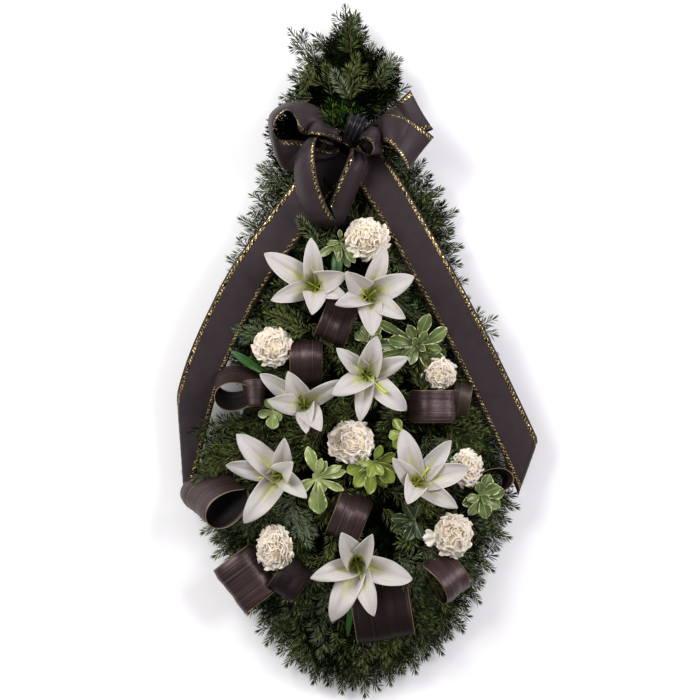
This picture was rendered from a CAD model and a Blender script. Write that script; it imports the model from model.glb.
import math

import bmesh
import bpy
import numpy as np
from mathutils import Matrix, Quaternion, Vector


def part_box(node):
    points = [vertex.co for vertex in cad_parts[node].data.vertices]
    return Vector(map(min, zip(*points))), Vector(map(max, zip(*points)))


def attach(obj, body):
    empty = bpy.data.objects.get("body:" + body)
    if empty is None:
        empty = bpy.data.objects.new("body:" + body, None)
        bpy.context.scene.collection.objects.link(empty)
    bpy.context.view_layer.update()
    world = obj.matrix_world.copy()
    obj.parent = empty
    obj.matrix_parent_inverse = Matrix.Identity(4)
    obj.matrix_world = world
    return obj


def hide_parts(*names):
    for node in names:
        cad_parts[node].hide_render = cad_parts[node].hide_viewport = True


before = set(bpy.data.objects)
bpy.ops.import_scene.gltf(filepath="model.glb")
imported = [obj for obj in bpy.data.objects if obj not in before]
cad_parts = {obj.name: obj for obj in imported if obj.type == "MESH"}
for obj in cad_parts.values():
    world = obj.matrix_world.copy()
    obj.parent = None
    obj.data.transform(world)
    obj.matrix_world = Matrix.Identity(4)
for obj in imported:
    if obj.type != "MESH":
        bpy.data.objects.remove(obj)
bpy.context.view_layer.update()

# ---- where things lie -----------------------------------------------------------------------------
# Tables below are in millimetres, in the layout that the solids were drawn in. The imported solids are
# shifted so that the origin is the middle of the footprint; the bow's pick gives that shift.
MM = 0.001
PICK = (-4, 336)


def stem_foot(node):
    """The middle of a CAD node's lowest end, which is the cut end of its stem."""
    points = np.array([v.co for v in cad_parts[node].data.vertices])
    low = points[points[:, 2] < points[:, 2].min() + 0.5 * MM]
    return Vector((low.min(0) + low.max(0)) / 2)


pick = stem_foot("bow_tie")
SHIFT = Vector((pick.x - PICK[0] * MM, pick.y - PICK[1] * MM, 0))


def at(x, y, z):
    """A place in the tables' layout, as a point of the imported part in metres."""
    return Vector((x, y, z)) * MM + SHIFT


# ---- materials ------------------------------------------------------------------------------------
# Scales of the grains below, in patches per metre. A grain that would be too fine to be seen from
# above is drawn coarser, and the real size is then given beside it.
BARK_GRAIN = 400.0  # 2.5 mm
STEM_MOTTLE = 220.0  # 4.5 mm
LILY_LEAF_MOTTLE = 120.0  # 8 mm
PETAL_MOTTLE = 260.0  # 4 mm
MARGIN_BLOTS = 160.0  # 6 mm
LEAF_SHADES = 45.0  # 22 mm, so that each leaf differs from the next
BRAID_WANDER = 350.0  # 3 mm
GLITTER = 560.0  # 1.8 mm, where real glitter flakes are about 0.3 mm
CLOTH_SHADES = 60.0  # 17 mm
SATIN_YARN = 500.0  # 2 mm, where real yarn is about 0.1 mm
FOAM_CELLS = 700.0  # 1.4 mm, where real cells are about 0.3 mm
WOOD_FIBRE = 240.0  # 4 mm


def srgb(code):
    """An sRGB hex value as the linear colour that shaders take."""
    parts = [int(code[i : i + 2], 16) / 255 for i in (1, 3, 5)]
    linear = [c / 12.92 if c <= 0.04045 else ((c + 0.055) / 1.055) ** 2.4 for c in parts]
    return (*linear, 1)


def add(tree, kind, inputs=None, **settings):
    """One shader node with its settings; an input is a value, or the socket that feeds it."""
    made = tree.nodes.new(kind)
    for name, value in settings.items():
        setattr(made, name, value)
    for key, value in (inputs or {}).items():
        if isinstance(value, bpy.types.NodeSocket):
            tree.links.new(value, made.inputs[key])
        else:
            made.inputs[key].default_value = value
    return made


def new_material(name, **shader):
    """A named material with one Principled shader; returns it, its tree and its shader."""
    made = bpy.data.materials.new(name)
    made.use_nodes = True
    tree = made.node_tree
    principled = tree.nodes["Principled BSDF"]
    for key, value in shader.items():
        principled.inputs[key.replace("_", " ")].default_value = value
    return made, tree, principled


def mottled(tree, scale, detail, dark, light, distortion=0.0):
    """A grain on object coordinates, and the colour that it gives between two tones."""
    place = add(tree, "ShaderNodeTexCoord").outputs["Object"]
    noise = {"Vector": place, "Scale": scale, "Detail": detail, "Distortion": distortion}
    grain = add(tree, "ShaderNodeTexNoise", noise).outputs["Fac"]
    colour = add(tree, "ShaderNodeMix", {0: grain, 6: srgb(dark), 7: srgb(light)}, data_type="RGBA")
    return grain, colour.outputs[2]


def across_and_along(tree):
    """A sheet's UV map, with how far a point is from its midline and how far along it, as shares of one."""
    uv = add(tree, "ShaderNodeUVMap", uv_map="UVMap").outputs["UV"]
    split = add(tree, "ShaderNodeSeparateXYZ", {"Vector": uv}).outputs
    off = add(tree, "ShaderNodeMath", {0: split["X"], 1: 0.5}, operation="SUBTRACT").outputs[0]
    side = add(tree, "ShaderNodeMath", {0: off}, operation="ABSOLUTE").outputs[0]
    return uv, side, split["Y"]


def fir_needle():
    """Living fir needle: waxy and dark green above, paler with bloom beneath, olive where it dries."""
    made, tree, shader = new_material("fir_needle_waxy", Roughness=0.36, IOR=1.45)
    shader.inputs["Specular IOR Level"].default_value = 0.2
    tone = add(tree, "ShaderNodeAttribute", attribute_name="tone").outputs["Fac"]
    under = add(tree, "ShaderNodeAttribute", attribute_name="under").outputs["Fac"]
    dryness = add(tree, "ShaderNodeAttribute", attribute_name="dry").outputs["Fac"]
    old = add(tree, "ShaderNodeMix", {0: tone, 6: srgb("#040703"), 7: srgb("#7a8e56")}, data_type="RGBA")
    straw = add(tree, "ShaderNodeMix", {0: tone, 6: srgb("#0a0b04"), 7: srgb("#8c8e50")}, data_type="RGBA")
    aged = add(
        tree, "ShaderNodeMix", {0: dryness, 6: old.outputs[2], 7: straw.outputs[2]}, data_type="RGBA"
    )
    face = add(tree, "ShaderNodeMix", {0: under, 6: aged.outputs[2], 7: srgb("#86937f")}, data_type="RGBA")
    tree.links.new(face.outputs[2], shader.inputs["Base Color"])
    return made


def shaded_fir_needle():
    """Old needles deep among the twigs: dusty, without shine, so the gaps between the sprays stay dark."""
    made, tree, shader = new_material("fir_needle_shaded", Roughness=0.9)
    shader.inputs["Specular IOR Level"].default_value = 0.0
    tone = add(tree, "ShaderNodeAttribute", attribute_name="tone").outputs["Fac"]
    colour = add(tree, "ShaderNodeMix", {0: tone, 6: srgb("#030502"), 7: srgb("#2a371d")}, data_type="RGBA")
    tree.links.new(colour.outputs[2], shader.inputs["Base Color"])
    return made


def young_fir_needle():
    """This year's fir growth: soft, bright grass-green needles."""
    made, tree, shader = new_material("fir_needle_young", Roughness=0.42, IOR=1.45)
    shader.inputs["Specular IOR Level"].default_value = 0.2
    tone = add(tree, "ShaderNodeAttribute", attribute_name="tone").outputs["Fac"]
    colour = add(tree, "ShaderNodeMix", {0: tone, 6: srgb("#0a1904"), 7: srgb("#6fa330")}, data_type="RGBA")
    tree.links.new(colour.outputs[2], shader.inputs["Base Color"])
    return made


def fir_bark():
    """Thin fir bark: smooth grey-brown with a fine grain."""
    made, tree, shader = new_material("fir_bark", Roughness=0.8)
    _, colour = mottled(tree, BARK_GRAIN, 3.0, "#2c2416", "#75654a")
    tree.links.new(colour, shader.inputs["Base Color"])
    return made


FIR = fir_needle()
SHADED_FIR = shaded_fir_needle()
YOUNG_FIR = young_fir_needle()
BARK = fir_bark()


# ---- making meshes --------------------------------------------------------------------------------
def deselect():
    bpy.ops.object.select_all(action="DESELECT")


def finish_shape(piece):
    """Put the object's place into its mesh, so that the object sits unturned at the origin."""
    deselect()
    piece.select_set(True)
    bpy.context.view_layer.objects.active = piece
    bpy.ops.object.transform_apply(location=True, rotation=True, scale=True)
    return piece


def take_away(piece):
    """Delete a pattern object once its copies are made."""
    data = piece.data
    bpy.data.objects.remove(piece)
    bpy.data.meshes.remove(data)


def arrays_of(piece):
    """A mesh's points and triangles as arrays."""
    shape = bmesh.new()
    shape.from_mesh(piece.data)
    bmesh.ops.triangulate(shape, faces=shape.faces)
    points = np.array([v.co for v in shape.verts])
    faces = np.array([[v.index for v in f.verts] for f in shape.faces])
    shape.free()
    return points, faces


def object_from(name, points, faces, materials, attributes, indices=None):
    """A piece from arrays of points and triangles, with a material index and values for each face."""
    data = bpy.data.meshes.new(name)
    data.vertices.add(len(points))
    data.vertices.foreach_set("co", np.asarray(points, np.float32).ravel())
    data.loops.add(3 * len(faces))
    data.loops.foreach_set("vertex_index", np.asarray(faces, np.int32).ravel())
    data.polygons.add(len(faces))
    data.polygons.foreach_set("loop_start", np.arange(len(faces), dtype=np.int32) * 3)
    for entry in materials:
        data.materials.append(entry)
    if indices is not None:
        data.polygons.foreach_set("material_index", np.asarray(indices, np.int32))
    for key, values in attributes.items():
        layer = data.attributes.new(key, "FLOAT", "FACE")
        layer.data.foreach_set("value", np.asarray(values, np.float32))
    data.update(calc_edges=True)
    data.validate()
    made = bpy.data.objects.new(name, data)
    bpy.context.scene.collection.objects.link(made)
    return made


def moved(points, matrix):
    """An array of points, moved as the matrix says."""
    m = np.array(matrix)
    return points @ m[:3, :3].T + m[:3, 3]


# ---- fir ------------------------------------------------------------------------------------------
NEEDLE_LENGTH = 18 * MM
NEEDLE_WIDTH = 1.9 * MM
NEEDLE_SPACING = 1.36 * MM
BROADEST_AT = 0.55  # of a needle's length
EDGES_RAISED = 0.3  # of its width
TUFT = 5  # needles around the tip of a shoot
TOP_SHARE = 0.2  # of a shoot's needles stand in the row on top
TOP_SIZE = 0.72  # of a side needle's length
TOP_LEAN, SIDE_LEAN = 32, 50  # degrees between a needle and its shoot
SHOOT_ANGLES = (38, 50)  # degrees between a side shoot and what it grows from
SHORTEST_SHOOT = 13 * MM
BRANCHES_FROM = 58 * MM  # shoots longer than this have small ones of their own
TWIG_TIP, TWIG_SWELL = 1.5 * MM, 0.012  # a twig's thickness is the one, and this share of its length
# How far each kind of spray reaches, in millimetres: three sizes of full branch and the plainer one that
# lies under the flowers, the crown's narrow one, an open one, a single shoot with small ones, and a stub.
LONG, MIDDLING, SHORT, INNER, SLIM, OPEN, SINGLE, STUB = 150, 112, 80, 110, 118, 72, 68, 44
# Places in every fir piece's list of materials.
NEEDLES, TWIGS, YOUNG_NEEDLES, SHADED_NEEDLES = range(4)


def needle_shape():
    """One fir needle, 1 long along +X: a lozenge drawn out to both ends, its side edges a little raised."""
    deselect()
    bpy.ops.mesh.primitive_circle_add(vertices=4, radius=1, fill_type="NGON")
    needle = finish_shape(bpy.context.object)
    bpy.ops.object.mode_set(mode="EDIT")
    bpy.ops.mesh.select_all(action="SELECT")
    ratio = NEEDLE_WIDTH / NEEDLE_LENGTH
    bpy.ops.transform.resize(value=(0.5, ratio / 2, 1), center_override=(0, 0, 0))
    bpy.ops.transform.translate(value=(0.5, 0, 0))
    bpy.ops.object.mode_set(mode="OBJECT")
    points = np.array([v.co for v in needle.data.vertices])
    take_away(needle)
    foot, tip = points[:, 0].argmin(), points[:, 0].argmax()
    left, right = points[:, 1].argmax(), points[:, 1].argmin()
    points[[left, right], 2] = ratio * EDGES_RAISED
    points[[left, right], 0] = BROADEST_AT
    upper = [[foot, right, left], [right, tip, left]]
    lower = [[foot, left, tip], [foot, tip, right]]
    return points, np.array(upper + lower)


def twig_shape():
    """A bare twig, 1 long along +X and 1 thick: a tapered four-sided rod."""
    deselect()
    bpy.ops.mesh.primitive_cone_add(
        vertices=4, radius1=0.5, radius2=0.25, depth=1, location=(0.5, 0, 0), rotation=(0, math.pi / 2, 0)
    )
    twig = finish_shape(bpy.context.object)
    points, faces = arrays_of(twig)
    take_away(twig)
    return points, faces


needle_points, needle_faces = needle_shape()
twig_points, twig_faces = twig_shape()
normal_of_faces = np.cross(
    needle_points[needle_faces[:, 1]] - needle_points[needle_faces[:, 0]],
    needle_points[needle_faces[:, 2]] - needle_points[needle_faces[:, 0]],
)
needle_under = (normal_of_faces[:, 2] < 0).astype(float)


def shoot_needles(rng, length, spacing):
    """Frames of a shoot's needles along +X: a comb to each side, a shorter row on top, a tuft at its tip.

    Side needles lie flat, to the left and the right in turn, top ones stand up, and all lean to the tip.
    """
    count = max(12, int(length / spacing))
    total = count + TUFT
    s = np.concatenate([(np.arange(count) + rng.random(count) * 0.35) / count, np.full(TUFT, 0.99)])
    hand = np.where(np.arange(total) % 2, 1.0, -1.0)
    on_top = rng.random(total) < TOP_SHARE
    around = hand * np.radians(np.where(on_top, rng.uniform(8, 55, total), rng.uniform(75, 95, total)))
    lean = np.radians(np.where(on_top, TOP_LEAN, SIDE_LEAN) + rng.normal(0, 3, total) - 20 * s**4)
    lean[count:] = np.radians(rng.uniform(2, 20, TUFT))
    around[count:] = rng.uniform(-1.9, 1.9, TUFT)
    size = NEEDLE_LENGTH * np.where(on_top, TOP_SIZE, 1) * rng.uniform(0.88, 1.06, total)
    size *= (0.7 + 0.3 * np.minimum(1, s * 5)) * (1 - 0.22 * s**6)
    ways = np.stack([np.cos(lean), np.sin(lean) * np.sin(around), np.sin(lean) * np.cos(around)], 1)
    up = np.stack([0.25 * np.ones(total), np.zeros(total), np.ones(total)], 1)
    up += rng.normal(0, 0.14, (total, 3))
    up -= (up * ways).sum(1, keepdims=True) * ways
    up /= np.linalg.norm(up, axis=1, keepdims=True)
    side = np.cross(up, ways)
    made = np.zeros((total, 4, 4))
    made[:, :3, 0] = ways * size[:, None]
    made[:, :3, 1] = side * size[:, None]
    made[:, :3, 2] = up * size[:, None]
    made[:, 0, 3] = s * length
    made[:, 3, 3] = 1
    return made


def make_spray(seed, reach, apart=32, fullness=0.48, spacing=NEEDLE_SPACING):
    """A flat fir spray `reach` millimetres long: a leader, pairs of side shoots, small ones on the long."""
    rng = np.random.default_rng(seed)
    long = reach * MM
    shoots = [(Matrix.Identity(4), long)]
    pairs = max(2, round(reach / apart))
    for k in range(pairs):
        for hand in (1, -1):
            start = long * (0.05 + 0.86 * (k + 0.3 * (hand > 0) + 0.15 * rng.random()) / pairs)
            out = ((long - start) * fullness + SHORTEST_SHOOT) * rng.uniform(0.82, 1.12)
            turn = Matrix.Rotation(hand * math.radians(rng.uniform(*SHOOT_ANGLES)), 4, "Z")
            tilt = Matrix.Rotation(math.radians(rng.normal(0, 8)), 4, "Y")
            place = Matrix.Translation((start, 0, 0)) @ turn @ tilt
            shoots.append((place, out))
            if out > BRANCHES_FROM:
                for side in (1, -1):
                    small = Matrix.Rotation(side * math.radians(rng.uniform(*SHOOT_ANGLES)), 4, "Z")
                    along = Matrix.Translation((out * rng.uniform(0.3, 0.5), 0, 0))
                    shoots.append((place @ along @ small, out * rng.uniform(0.36, 0.48)))
    return grown(shoots, rng, spacing)


def grown(shoots, rng, spacing=NEEDLE_SPACING):
    """Points, triangles, material slots, undersides and tones of shoots given as (place, length)."""
    points, faces, slots, unders, tones = [], [], [], [], []
    total = 0
    for place, length in shoots:
        frames = np.array(place) @ shoot_needles(rng, length, spacing)
        many = np.einsum("nij,pj->npi", frames[:, :3, :3], needle_points) + frames[:, None, :3, 3]
        base = total + np.arange(len(frames))[:, None, None] * len(needle_points)
        points.append(many.reshape(-1, 3))
        faces.append((needle_faces[None] + base).reshape(-1, 3))
        slots.append(np.full(len(frames) * len(needle_faces), NEEDLES))
        unders.append(np.tile(needle_under, len(frames)))
        shade = rng.uniform(0, 0.2) + 0.8 * rng.random(len(frames)) ** 2.6
        tones.append(np.repeat(shade, len(needle_faces)))
        total += many.shape[0] * many.shape[1]
        thick = TWIG_TIP + TWIG_SWELL * length
        bark = moved(twig_points * [length, thick, thick], place)
        points.append(bark)
        faces.append(twig_faces + total)
        slots.append(np.full(len(twig_faces), TWIGS))
        unders.append(np.zeros(len(twig_faces)))
        tones.append(np.zeros(len(twig_faces)))
        total += len(bark)
    return [np.concatenate(part) for part in (points, faces, slots, unders, tones)]


def young_tuft():
    """This year's growth: a fan of short soft shoots."""
    rng = np.random.default_rng(5)
    shoots = []
    for turn in (-34, -10, 10, 32):
        droop = Matrix.Rotation(math.radians(rng.uniform(-24, 4)), 4, "Y")
        place = Matrix.Rotation(math.radians(turn), 4, "Z") @ droop
        shoots.append((place, rng.uniform(38, 52) * MM))
    return grown(shoots, rng, 1.4 * MM)


# Three sprays of each kind, each from its own seed, and copies of them make the wreath.
SPRAYS = {
    LONG: [make_spray(seed, LONG) for seed in (3, 8, 21)],
    MIDDLING: [make_spray(seed, MIDDLING) for seed in (34, 55, 89)],
    INNER: [make_spray(seed, INNER, 36, 0.5, 2.1 * MM) for seed in (36, 57, 91)],
    SHORT: [make_spray(seed, SHORT) for seed in (144, 233, 377)],
    SLIM: [make_spray(seed, SLIM, 30, 0.26) for seed in (610, 987, 1597)],
    OPEN: [make_spray(seed, OPEN, 34, 0.14, 1.7 * MM) for seed in (2585, 4182, 6766)],
    SINGLE: [make_spray(seed, SINGLE, 34, 0.12, 1.08 * MM) for seed in (2584, 4181, 6765)],
    STUB: [grown([(Matrix.Identity(4), STUB * MM)], np.random.default_rng(seed)) for seed in (17, 19, 23)],
}

# The outline of the fir below the bow, as far as sprays reach: (x, y, heading of the spray in degrees).
# Headings everywhere are degrees from +X towards +Y.
RIM = [
    (-116, 346, 140), (-144, 292, 144), (-172, 208, 150), (-190, 146, 156), (-200, 98, 160),
    (-208, 44, 166), (-204, -10, 172), (-166, -44, 176), (-226, -156, 190), (-262, -196, 194),
    (-246, -246, 200), (-232, -290, 208), (-214, -330, 214), (-190, -376, 222), (-160, -420, 230),
    (-132, -468, 238), (-98, -502, 246), (-58, -530, 256), (-16, -546, 266), (24, -550, 272),
    (64, -532, 280), (104, -512, 290), (146, -484, 300), (180, -446, 308), (206, -402, 318),
    (226, -352, 326), (252, -300, 334), (264, -252, 344), (262, -190, 352), (256, -130, 0),
    (246, -70, 6), (230, -10, 12), (202, 50, 10), (180, 112, 8), (173, 166, 12), (166, 220, 30),
    (144, 256, 42), (116, 300, 50), (90, 340, 50),
]
# The crown's tips: (x, y, heading, size).
CROWN = [
    (-8, 552, 96, SLIM), (9, 541, 78, SINGLE), (-22, 520, 120, SINGLE), (-26, 506, 138, SINGLE),
    (24, 508, 54, SINGLE), (-56, 505, 147, SINGLE), (-44, 484, 140, SLIM), (-66, 464, 152, SINGLE),
    (-52, 468, 138, SLIM), (-87, 438, 160, SLIM), (-76, 452, 150, SINGLE), (-94, 402, 184, SLIM),
    (-88, 418, 170, SINGLE), (34, 489, 74, SLIM), (48, 480, 58, SINGLE), (65, 465, 38, SLIM),
    (63, 449, 24, SINGLE), (71, 431, 32, SLIM), (78, 416, 20, SINGLE), (75, 399, 12, SINGLE),
]
# Sprays that lie over the ribbon, stand out by themselves or fill the gaps around the bow:
# base, heading, size, kind.
LOOSE_SPRAYS = [
    ((-128, -106, 86), 192, SINGLE, "old"), ((-182, -117, 84), 191, SINGLE, "old"),
    ((-126, -120, 84), 203, SLIM, "old"), ((-128, -136, 84), 205, SLIM, "olive"),
    ((-142, -152, 84), 208, SLIM, "old"), ((-132, -122, 82), 222, SHORT, "blue"),
    ((-154, -124, 84), 216, SINGLE, "old"), ((-172, -160, 82), 206, SINGLE, "olive"),
    ((-40, -128, 92), 195, MIDDLING, "old"), ((-84, -232, 88), 208, MIDDLING, "blue"),
    ((140, -118, 78), -12, SHORT, "old"), ((160, -134, 76), -24, SINGLE, "old"),
    ((158, 12, 72), 28, SHORT, "old"), ((188, -230, 76), -3, SINGLE, "old"),
    ((176, -206, 74), 6, SINGLE, "old"), ((-66, 30, 98), 157, SINGLE, "olive"),
    ((-52, 172, 90), 128, STUB, "blue"), ((72, 86, 96), 320, STUB, "blue"),
    ((-112, 18, 92), 168, SINGLE, "blue"), ((-66, 42, 92), 318, STUB, "olive"),
    ((112, -66, 98), 62, SINGLE, "olive"), ((104, 6, 104), 302, SINGLE, "olive"),
    ((-30, 8, 90), 250, STUB, "olive"), ((-26, 210, 86), 250, STUB, "old"),
    ((-92, -246, 96), 292, SINGLE, "pale"), ((10, -96, 90), 200, SINGLE, "olive"),
    ((62, -100, 92), 320, STUB, "old"), ((-20, -246, 90), 200, SHORT, "olive"),
    ((120, -342, 84), 250, MIDDLING, "old"), ((96, -400, 80), 290, SHORT, "old"),
    ((-14, 346, 62), 178, INNER, "deep"), ((-16, 366, 60), 184, INNER, "deep"),
    ((-22, 326, 56), 170, INNER, "deep"), ((-6, 338, 66), 188, INNER, "deep"),
    ((-70, 286, 58), 100, INNER, "deep"), ((-30, 300, 66), 130, INNER, "deep"),
    ((-36, 362, 54), 176, SHORT, "deep"), ((-40, 348, 50), 182, SHORT, "deep"),
    ((-30, 374, 52), 176, SHORT, "deep"), ((-44, 368, 46), 179, SHORT, "deep"),
    ((-42, 355, 44), 181, SHORT, "deep"), ((-38, 342, 44), 184, SHORT, "deep"),
    ((-28, 382, 48), 178, SHORT, "deep"), ((20, 380, 66), 60, SHORT, "deep"),
    ((12, 396, 64), 40, SHORT, "deep"), ((30, 390, 66), 76, SHORT, "deep"),
    ((-20, 396, 60), 120, SHORT, "deep"), ((0, 400, 60), 96, INNER, "deep"),
    ((-26, 390, 60), 146, SHORT, "deep"), ((56, 296, 60), 60, SHORT, "deep"),
    ((0, 320, 60), 300, INNER, "deep"), ((-10, 330, 62), 250, INNER, "deep"),
    ((-4, 402, 86), 118, STUB, "pale"), ((0, 400, 78), 82, SINGLE, "olive"),
    ((-44, 424, 80), 150, STUB, "olive"), ((-30, 408, 76), 100, STUB, "old"),
    ((-58, 456, 74), 242, STUB, "olive"), ((-52, 456, 66), 128, SINGLE, "old"),
    ((2, 470, 66), 92, SINGLE, "old"), ((24, 420, 66), 40, SINGLE, "old"),
    ((26, 392, 66), 24, SINGLE, "old"), ((44, 430, 70), 60, STUB, "blue"),
    ((-60, 404, 72), 178, STUB, "blue"),
]
# The fresh growth above the bow: base and heading.
YOUNG_SPRAYS = [((-26, 346, 98), 104), ((-8, 350, 100), 84)]
# How a kind of spray looks: what it adds to the needles' lightness, to their bloom and to their dryness.
KINDS = {
    "deep": (-0.25, 0.0, 0.0),
    "shaded": (0.1, 0.0, 0.0),
    "old": (-0.05, 0.0, 0.1),
    "olive": (0.28, 0.05, 0.5),
    "blue": (0.15, 0.36, 0.0),
    "pale": (0.3, 0.8, 0.0),
    "young": (0.0, 0.0, 0.0),
}
# The bed of branches under the flowers: half its width along Y, and how high its top is.
BED_HALF = ([-440, -340, -190, 50, 300, 400], [60, 130, 160, 120, 50, 30])
BED_TOP = ([-440, 150, 230, 400], [76, 76, 62, 58])
# The looser sprays between the flowers: half the width that they take along Y, and how high they lie.
BETWEEN_HALF = ([-440, -340, -190, 50, 200], [70, 140, 170, 100, 50])
BETWEEN_TOP = 87
TIPS_OUT = 1.006  # how much further out than the rim's points the tips are laid
RIM_CLOSE = 90  # rim points closer than this have sprays between them too
FLAT_BELOW, LOWEST = 9, 3  # needles flatten out from the one height, and stay above the other


def spray_rows():
    """Every spray: base point, heading, pitch and roll in degrees, size and kind."""
    rng = np.random.default_rng(12)
    rows = []

    def pick_kind():
        return rng.choice(["old", "old", "olive", "blue"])

    def lay(tip, heading, size, tip_z, base_z, jitter=8, kind="old"):
        heading += rng.normal(0, jitter)
        way = (math.cos(math.radians(heading)), math.sin(math.radians(heading)))
        base = (tip[0] - way[0] * size, tip[1] - way[1] * size, base_z)
        pitch = math.degrees(math.atan2(base_z - tip_z, size))
        rows.append((base, heading, pitch, rng.normal(0, 10), size, kind))

    # Along the rim: long sprays, then shorter ones between them and behind their tips.
    for k, (x, y, heading) in enumerate(RIM):
        nx, ny, _ = RIM[(k + 1) % len(RIM)]
        way = Vector((math.cos(math.radians(heading)), math.sin(math.radians(heading))))
        tip = Vector((x, y)) * TIPS_OUT
        between = (Vector((x, y)) + Vector((nx, ny))) / 2
        lay(tip, heading, LONG, rng.uniform(24, 30), rng.uniform(34, 44), 4)
        if (Vector((x, y)) - Vector((nx, ny))).length < RIM_CLOSE:
            lay(
                between - way * rng.uniform(2, 12), heading, MIDDLING,
                rng.uniform(36, 44), rng.uniform(48, 54), 7,
            )
            lay(
                between - way * rng.uniform(62, 84), heading, SHORT,
                rng.uniform(62, 70), rng.uniform(74, 78), 14,
            )
        lay(
            tip - way * rng.uniform(30, 46), heading, MIDDLING,
            rng.uniform(48, 56), rng.uniform(62, 72), 9, "shaded",
        )
        lay(
            tip - way * rng.uniform(26, 52), heading, OPEN,
            rng.uniform(58, 64), rng.uniform(64, 72), 12, pick_kind(),
        )
        lay(
            between - way * rng.uniform(44, 70), heading, OPEN,
            rng.uniform(68, 74), 78, 16, pick_kind(),
        )
    # The crown, with darker shoots under each tip and behind it.
    for x, y, heading, size in CROWN:
        way = Vector((math.cos(math.radians(heading)), math.sin(math.radians(heading))))
        tip = Vector((x, y))
        lay(tip, heading, size, rng.uniform(32, 42), rng.uniform(44, 56), 2)
        lay(
            tip - way * rng.uniform(26, 40), heading, SINGLE,
            rng.uniform(26, 40), rng.uniform(40, 50), 8, "deep",
        )
        lay(
            tip - way * rng.uniform(22, 44), heading, SINGLE,
            rng.uniform(52, 62), rng.uniform(60, 70), 14, "shaded",
        )
    # The dark bed under the flowers, whose sprays point away from the wreath's middle.
    for y in range(-440, 400, 52):
        half = np.interp(y, *BED_HALF)
        top = np.interp(y, *BED_TOP)
        for x in np.arange(-half, half + 1, 48):
            heading = math.degrees(math.atan2(y - 20, 1.8 * x + 0.01)) + rng.normal(0, 24)
            tip = (x + rng.normal(0, 10), y + rng.normal(0, 10))
            lay(tip, heading, INNER, top + rng.uniform(-4, 3), top - rng.uniform(4, 12), 10, "deep")
    # The looser ones between the flowers.
    for y in range(-430, 190, 50):
        half = np.interp(y, *BETWEEN_HALF)
        for x in np.arange(-half, half + 1, 54):
            heading = math.degrees(math.atan2(y - 40, 1.6 * x + 0.01)) + rng.normal(0, 34)
            tip = (x + rng.normal(0, 16), y + rng.normal(0, 16))
            size = OPEN if rng.random() < 0.7 else STUB
            lay(
                tip, heading, size,
                BETWEEN_TOP + rng.uniform(-5, 5), 80 + rng.uniform(-4, 4), 10, pick_kind(),
            )
    for base, heading, size, kind in LOOSE_SPRAYS:
        rows.append((base, heading, 3, rng.normal(0, 8), size, kind))
    for base, heading in YOUNG_SPRAYS:
        rows.append((base, heading, -12, 0, None, "young"))
    return rows


def fir_pieces():
    """Sprays joined into one piece for each fir solid, the one whose middle is nearest."""
    rng = np.random.default_rng(7)
    names = sorted(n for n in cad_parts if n.startswith("fir_"))
    middles = np.array([[c.x, c.y] for c in ((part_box(n)[0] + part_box(n)[1]) / 2 for n in names)])
    bunches = {n: [] for n in names}
    young = young_tuft()
    for k, (base, heading, pitch, roll, size, kind) in enumerate(spray_rows()):
        alike = [young] if kind == "young" else SPRAYS[size]
        points, faces, slots, unders, tones = alike[k % len(alike)]
        lighter, bloom, dryness = KINDS[kind]
        # Each copy is mirrored or not, and droops to its tip by its own amount.
        hand = rng.choice([-1.0, 1.0])
        points = points * [1, hand, 1]
        faces = faces[:, ::-1] if hand < 0 else faces
        points[:, 2] -= 0.4 * points[:, 0] ** 2 * rng.uniform(0.2, 1.2)
        place = (
            Matrix.Translation(at(*base))
            @ Matrix.Rotation(math.radians(heading), 4, "Z")
            @ Matrix.Rotation(math.radians(pitch), 4, "Y")
            @ Matrix.Rotation(math.radians(roll), 4, "X")
        )
        points = moved(points, place)
        low = points[:, 2] < FLAT_BELOW * MM
        room = FLAT_BELOW - LOWEST
        points[low, 2] = (LOWEST + room * np.exp((points[low, 2] / MM - FLAT_BELOW) / room)) * MM
        middle = points[:, :2].mean(0)
        nearest = names[int(np.argmin(((middles - middle) ** 2).sum(1)))]
        if kind in ("deep", "shaded"):
            slots = np.full(len(slots), SHADED_NEEDLES)
        elif kind == "young":
            slots = np.where(slots == NEEDLES, YOUNG_NEEDLES, slots)
        unders = np.clip(unders + bloom, 0, 1)
        stronger = 1.5 if size == OPEN else 1
        tones = np.clip(tones * stronger + lighter + rng.uniform(-0.1, 0.2), 0, 1)
        dry = np.full(len(tones), float(np.clip(dryness + rng.uniform(-0.1, 0.2), 0, 1)))
        bunches[nearest].append((points, faces, slots, unders, tones, dry))
    for name, parts in bunches.items():
        offsets = np.cumsum([0] + [len(p[0]) for p in parts[:-1]])
        piece = object_from(
            name + "_sprays",
            np.concatenate([p[0] for p in parts]),
            np.concatenate([p[1] + o for p, o in zip(parts, offsets)]),
            [FIR, BARK, YOUNG_FIR, SHADED_FIR],
            {
                "under": np.concatenate([p[3] for p in parts]),
                "tone": np.concatenate([p[4] for p in parts]),
                "dry": np.concatenate([p[5] for p in parts]),
            },
            np.concatenate([p[2] for p in parts]),
        )
        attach(piece, "root")
        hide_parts(name)


fir_pieces()


# ---- sheets, rods and joining ---------------------------------------------------------------------
def smooth_line(points, count):
    """So many points along a smooth curve through the points given (Catmull-Rom)."""
    p = np.array(points, float)
    p = np.vstack([2 * p[0] - p[1], p, 2 * p[-1] - p[-2]])
    out = []
    for u in np.linspace(0, len(p) - 3, count):
        k = min(int(u), len(p) - 4)
        t = u - k
        a, b, c, d = p[k : k + 4]
        square, cube = 2 * a - 5 * b + 4 * c - d, 3 * b - a - 3 * c + d
        out.append(0.5 * (2 * b + (c - a) * t + square * t**2 + cube * t**3))
    return np.array(out)


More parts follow.
